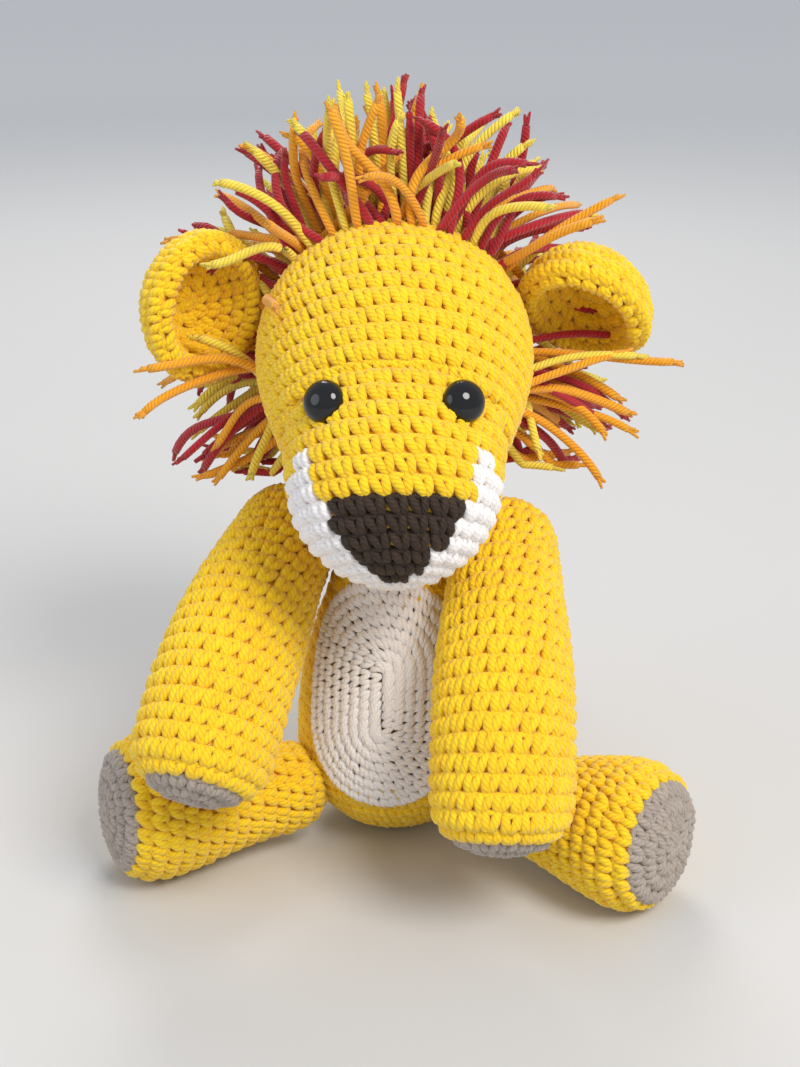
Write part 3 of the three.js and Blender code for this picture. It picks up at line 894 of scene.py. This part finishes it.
def ear_line():
    def bowl(offset, angle):
        return ((EAR_RADIUS + offset) * math.sin(angle), -(EAR_DEPTH + offset) * math.cos(angle))

    steps = np.linspace(0, math.pi / 2, 12)
    rim = np.linspace(0, math.pi, 7)[1:-1]
    half = EAR_HALF_WALL
    line = [bowl(half, a) for a in steps]
    line += [(EAR_RADIUS + half * math.cos(a), half * math.sin(a)) for a in rim]
    line += [bowl(-half, a) for a in steps[::-1]]
    line[0] = (0, line[0][1])
    line[-1] = (0, line[-1][1])
    return np.array(line)


for side in ("left", "right"):
    ear = f"{side}_ear"
    back_pole, cup_pole = sorted(
        poles(ear), key=lambda p: np.linalg.norm(p - np.array(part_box("muzzle_cap")[0])), reverse=True)
    opening = unit(cup_pole - back_pole)
    rim_middle = cup_pole + opening * (EAR_DEPTH - EAR_WALL / 2)
    ear_form = Turned(rim_middle, opening, ear_line(), narrow=EAR_NARROW)
    ear_fabric = crochet(ear_form)
    place_piece(ear_fabric.knit(f"{ear}_crochet", YELLOW), ear, "yellow_yarn", ear, fill=EAR_FULL)
    place_piece(lining(f"{ear}_lining", ear_form, YELLOW), ear, "yellow_yarn")
    print(f"{ear}: {ear_fabric}")

# %% [markdown]
# ## Neck and tail
#
# A few rounds join the head to the body. The tail is a thin tube, bent after it is worked,
# with a tassel of mane yarn.

# %% The neck
NECK_INSET = 1 * MM  # how far the loops' foot lies inside the seam
NECK_TUCK = 3 * MM  # how far the rounds go on down inside the body
NECK_HEIGHT = 12.5 * MM
NECK_EDGE = 0.5 * MM  # the fall from each flat end to the wall
NECK_BULGE = 1.04

seam_low, seam_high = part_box("neck_seam")
neck_radius = (seam_high.x - seam_low.x) / 2 - NECK_INSET
neck_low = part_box("neck_stuffing")[0].z - NECK_TUCK
wall_top = NECK_HEIGHT - NECK_EDGE
neck_line = [
    (0, 0), (neck_radius, NECK_EDGE), (neck_radius * NECK_BULGE, wall_top / 2),
    (neck_radius, wall_top), (0, NECK_HEIGHT)]
neck_middle = middle("neck_seam")
neck_form = Turned(
    (neck_middle[0], neck_middle[1], neck_low), (0, 0, 1), np.array(neck_line), up=(0, 1, 0))
neck_fabric = crochet(neck_form, start=neck_radius, end=neck_form.length - neck_radius)
place_piece(neck_fabric.knit("neck_crochet", YELLOW), "neck", "yellow_yarn", "neck_seam")
place_piece(lining("neck_lining", neck_form, YELLOW), "neck", "yellow_yarn", "neck_stuffing")

# %% The tail
joints = {joint["name"]: joint for joint in frame["joints"]}
tail_root = np.array(joints["tail_wag"]["pos_m"])
TAIL_RADIUS = 3 * MM
TAIL_STITCH = 4 * MM
TAIL_ROUNDING = 1.5 * MM  # the length over which each end closes
# from the root of the tail: back, down, and round to one side along the floor
TAIL_ROUTE = np.array([
    (0, -2, 1.4), (0, 7.5, -3), (0.5, 15.5, -9.5), (3.5, 23.5, -12.8), (10, 29, -13.6), (18, 30, -13.2)
]) * MM

tail_length = np.linalg.norm(np.diff(route_along(TAIL_ROUTE), axis=0), axis=1).sum()
tail_line = smooth_line(np.array([
    (0, 0), (TAIL_RADIUS, TAIL_ROUNDING), (TAIL_RADIUS, tail_length / 2),
    (TAIL_RADIUS, tail_length - TAIL_ROUNDING), (0, tail_length)]))
tail_line[:, 0] = np.maximum(tail_line[:, 0], 0)
tail_form = Bent(tail_line, tail_root + TAIL_ROUTE)
tail_fabric = crochet(tail_form, width=TAIL_STITCH)
place_piece(tail_fabric.knit("tail_crochet", YELLOW, rest_on_ground), "tail", "yellow_yarn", "tail")
place_piece(lining("tail_lining", tail_form, YELLOW, around=24), "tail", "yellow_yarn")

# %% [markdown]
# ## Mane
#
# The mane is cut lengths of yarn in three colours, knotted closely over the back and sides of
# the head. Most strands leave the head nearly square, and about one in eight strays further.
# Then its own weight and the set of the yarn curve each one, and its cut end opens into plies.
# Of the knots just before an ear, only one in five is kept. Strands that would sink into the
# shoulders are laid over them, with room for the head to tip back.

# %% Strands of cut yarn
STRAND_RADIUS = 1.22 * MM
STRAND_POINTS = 14


def grow_strands(roots, headings, lengths, curl, droop):
    """Paths that start at roots, head off, wander by curl, and fall by droop."""
    count = len(roots)
    way = np.linspace(0, 1, STRAND_POINTS)[None, :, None]
    bend = random.normal(0, 1, (count, 1, 3)) * curl
    wave = random.normal(0, 1, (count, 1, 3)) * curl * 0.35
    sway = wave * np.sin(way * 5 + random.uniform(0, 6, (count, 1, 1)))
    heading = unit(headings[:, None] + bend * way + sway - np.array([0, 0, 1]) * droop * way)
    step = heading * (lengths[:, None, None] / (STRAND_POINTS - 1))
    return roots[:, None] + np.concatenate([np.zeros((count, 1, 3)), step[:, 1:].cumsum(1)], axis=1)


def strand_piece(name, paths, material):
    """Strands with blunt ends, and the plies that spread at the cut."""
    count = len(paths)
    facing = np.broadcast_to(unit(random.normal(0, 1, (count, 1, 3))), paths.shape)
    radii = STRAND_RADIUS * random.uniform(0.88, 1.1, (count, 1)) * np.ones(STRAND_POINTS)
    radii[:, 0] *= 0.7
    radii[:, -1] *= 0.9
    strands = lay_yarn(name, paths, facing, radii, material, sides=10)
    ahead = unit(paths[:, -1] - paths[:, -2])
    plies = []
    for _ in range(PLIES):
        spread = unit(random.normal(0, 1, (count, 3)))
        way = np.linspace(-0.6, 1, 5)[None, :, None]
        reach = random.uniform(1.2, 3.2, (count, 1, 1)) * MM
        splay = spread[:, None] * (0.7 * MM) * (0.6 + way**2)
        plies.append(paths[:, -1][:, None] + ahead[:, None] * reach * way + splay)
    plies = np.concatenate(plies)
    ply_facing = np.broadcast_to(unit(random.normal(0, 1, (len(plies), 1, 3))), plies.shape)
    ply_radii = np.tile([0.3, 0.55, 0.6, 0.55, 0.35], (len(plies), 1)) * MM
    ends = lay_yarn(f"{name}_ends", plies, ply_facing, ply_radii, material, sides=6)
    return strands, ends


# %% The mane
HAIRLINE = 43 * MM  # from the back of the skull, over its surface
BEARD = 19 * MM  # how much further forward the mane comes below the ears
IN_CUP = 0.2  # the share of knots just before an ear that are kept
KNOT_SPACING = 3.45 * MM
EAR_TOP = 9 * MM  # this much of an ear's top may have strands before it
EAR_FRONT = 6 * MM  # places up to this far behind an ear's middle count as before it
UNRULY_SHARE = 0.12
CURL = 0.42
SHOULDER_ROOM = 2.5 * MM
NOD_BACK = math.sin(math.radians(12))  # how fast the head's back sinks when the toy looks up


def clear_of_shoulders(points):
    """Lays what would sink into the arms or the back over them instead."""
    shoulders = max(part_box(f"{side}_arm_shell")[1].z for side in ("left", "right")) + SHOULDER_ROOM
    behind = np.maximum(points[..., 1] - neck_middle[1], 0)
    points = points.copy()
    points[..., 2] = np.maximum(points[..., 2], shoulders + NOD_BACK * behind)
    return points


def before_ears(points):
    """True for places from which a strand would grow across an ear."""
    crosses = np.zeros(len(points), bool)
    for side in ("left", "right"):
        low, high = [np.array(corner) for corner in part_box(f"{side}_ear")]
        beside = abs(points[:, 0] - (low[0] + high[0]) / 2) < high[0] - low[0]
        level_with = (points[:, 2] > low[2]) & (points[:, 2] < high[2] - EAR_TOP)
        crosses |= beside & level_with & (points[:, 1] < (low[1] + high[1]) / 2 + EAR_FRONT)
    return crosses


mane_form = measured_form("head_stuffing", head_form.start + head_form.axis * head_form.length)
roots, outs = [], []
for row in np.arange(KNOT_SPACING * 0.6, HAIRLINE + BEARD, KNOT_SPACING):
    count = max(1, round(mane_form.girth(row) / KNOT_SPACING))
    turns = (np.arange(count) + random.uniform(0, 1)) / count + random.normal(0, 0.08, count) / count
    points, facing = mane_form.place(turns, row + random.normal(0, 0.5 * MM, count))
    up_here = (points - (mane_form.start + mane_form.axis * 38 * MM))[:, 2]
    in_cup = before_ears(points) & (random.uniform(0, 1, count) > IN_CUP)
    keep = ((row < HAIRLINE) | (up_here < 8 * MM)) & ~in_cup
    roots.append(points[keep])
    outs.append(facing[keep])
roots, outs = np.concatenate(roots), np.concatenate(outs)
unruly = np.where(random.uniform(0, 1, (len(roots), 1)) < UNRULY_SHARE, 0.8, 0.26)
spread = unit(outs + random.normal(0, 1, outs.shape) * unruly + np.array([0, 0, 0.10]))
lengths = random.normal(32, 4, len(roots)).clip(22, 42) * MM
level = (roots[:, 2] - head_form.start[2]) / (60 * MM)
droop = np.clip(0.95 - 0.7 * level, 0.2, 1.3)[:, None, None]  # the low strands hang the most
paths = clear_of_shoulders(grow_strands(roots + outs * 0.5 * MM, spread, lengths, CURL, droop))
colour_of = random.permutation(np.arange(len(roots)) % 3)
for number, (material_slot, material) in enumerate(MANE.items()):
    chosen = colour_of == number
    locks = [f"mane_lock_{k:02d}" for k in range(1, 21) if (k - 1) % 3 == number]
    strands, ends = strand_piece(material_slot + "_strands", paths[chosen], material)
    place_piece(strands, "head", material_slot, *locks)
    place_piece(ends, "head", material_slot)
print(f"the mane has {len(roots)} strands")

# %% The tassel
TASSEL_STRANDS = 26

tail_end, tail_ahead = tail_form.bend(np.array([(0, 0, tail_length - 1 * MM), (0, 0, tail_length)]))
tail_ahead = unit(tail_ahead - tail_end)
tassel_out = unit(tail_ahead + random.normal(0, 0.22, (TASSEL_STRANDS, 3)) + np.array([0, 0, 0.22]))
tassel = grow_strands(
    tail_end + random.normal(0, 0.9 * MM, (TASSEL_STRANDS, 3)), tassel_out,
    random.uniform(16, 24, TASSEL_STRANDS) * MM, 0.3, 0.1)
tassel = rest_on_ground(tassel)
strands, ends = strand_piece("tassel_strands", tassel, MANE["mane_red"])
place_piece(strands, "tail", "mane_red", "tail_tuft")
place_piece(ends, "tail", "mane_red")

# %% [markdown]
# ## Floor and light
#
# A wide pale floor, one large soft light above to the right, a weaker one to the left, one
# behind, and a pale sky. Large lights keep the loops' shadows soft. Far from the lion, where
# the lamps reach less, the floor is painted paler: painted light that brings it near the sky's tone.

# %% The floor
FLOOR = 15.0
floor_recipe = Recipe("floor_paper")
place = floor_recipe.node("ShaderNodeNewGeometry")
away = floor_recipe.node("ShaderNodeVectorMath", {"operation": "LENGTH"}, {0: place}, "Value")
# Painted light: the floor is painted paler with distance from the middle, where the lamps light it less.
painted_far_light = floor_recipe.node(
    "ShaderNodeMapRange", {"interpolation_type": "SMOOTHSTEP"},
    {"Value": away, "From Min": 0.35, "From Max": 2.2})
speckle = floor_recipe.node("ShaderNodeTexNoise", None, {"Scale": 40.0, "Detail": 6.0})
near = floor_recipe.mix(speckle, (0.62, 0.61, 0.60), (0.58, 0.57, 0.56))
# Near the lion the paper's own colour, and far away the paler painted light.
floor_recipe.surface(Base_Color=floor_recipe.mix(painted_far_light, near, (0.92, 0.92, 0.92)), Roughness=0.9)
floor_corners = np.array([(-FLOOR, -FLOOR, 0), (FLOOR, -FLOOR, 0), (FLOOR, FLOOR, 0), (-FLOOR, FLOOR, 0)])
floor = make_mesh("floor", floor_corners.astype(float), np.array([[0, 1, 2, 3]]),
                  np.zeros((0, 3), int), floor_recipe.material)


# %% The lights
def soft_light(name, place, size, power, colour):
    lamp = bpy.data.lights.new(name, "AREA")
    lamp.shape = "DISK"
    lamp.size = size
    lamp.energy = power
    lamp.color = colour
    light = bpy.data.objects.new(name, lamp)
    light.location = place
    light.rotation_euler = (Vector(place) - aim).to_track_quat("Z", "Y").to_euler()
    bpy.context.scene.collection.objects.link(light)


soft_light("key_light", (0.55, -0.55, 0.9), 0.5, 9.5, (1.0, 0.97, 0.92))
soft_light("fill_light", (-0.8, -0.5, 0.5), 0.7, 2.2, (0.88, 0.93, 1.0))
soft_light("back_light", (-0.2, 0.8, 0.9), 0.5, 5, (1.0, 0.98, 0.95))
world = bpy.data.worlds.new("studio")
world.use_nodes = True
world.node_tree.nodes["Background"].inputs["Color"].default_value = (0.80, 0.84, 0.90, 1)
world.node_tree.nodes["Background"].inputs["Strength"].default_value = 0.62
bpy.context.scene.world = world
bpy.context.scene.view_settings.view_transform = "Standard"  # the default one washes out strong yellow
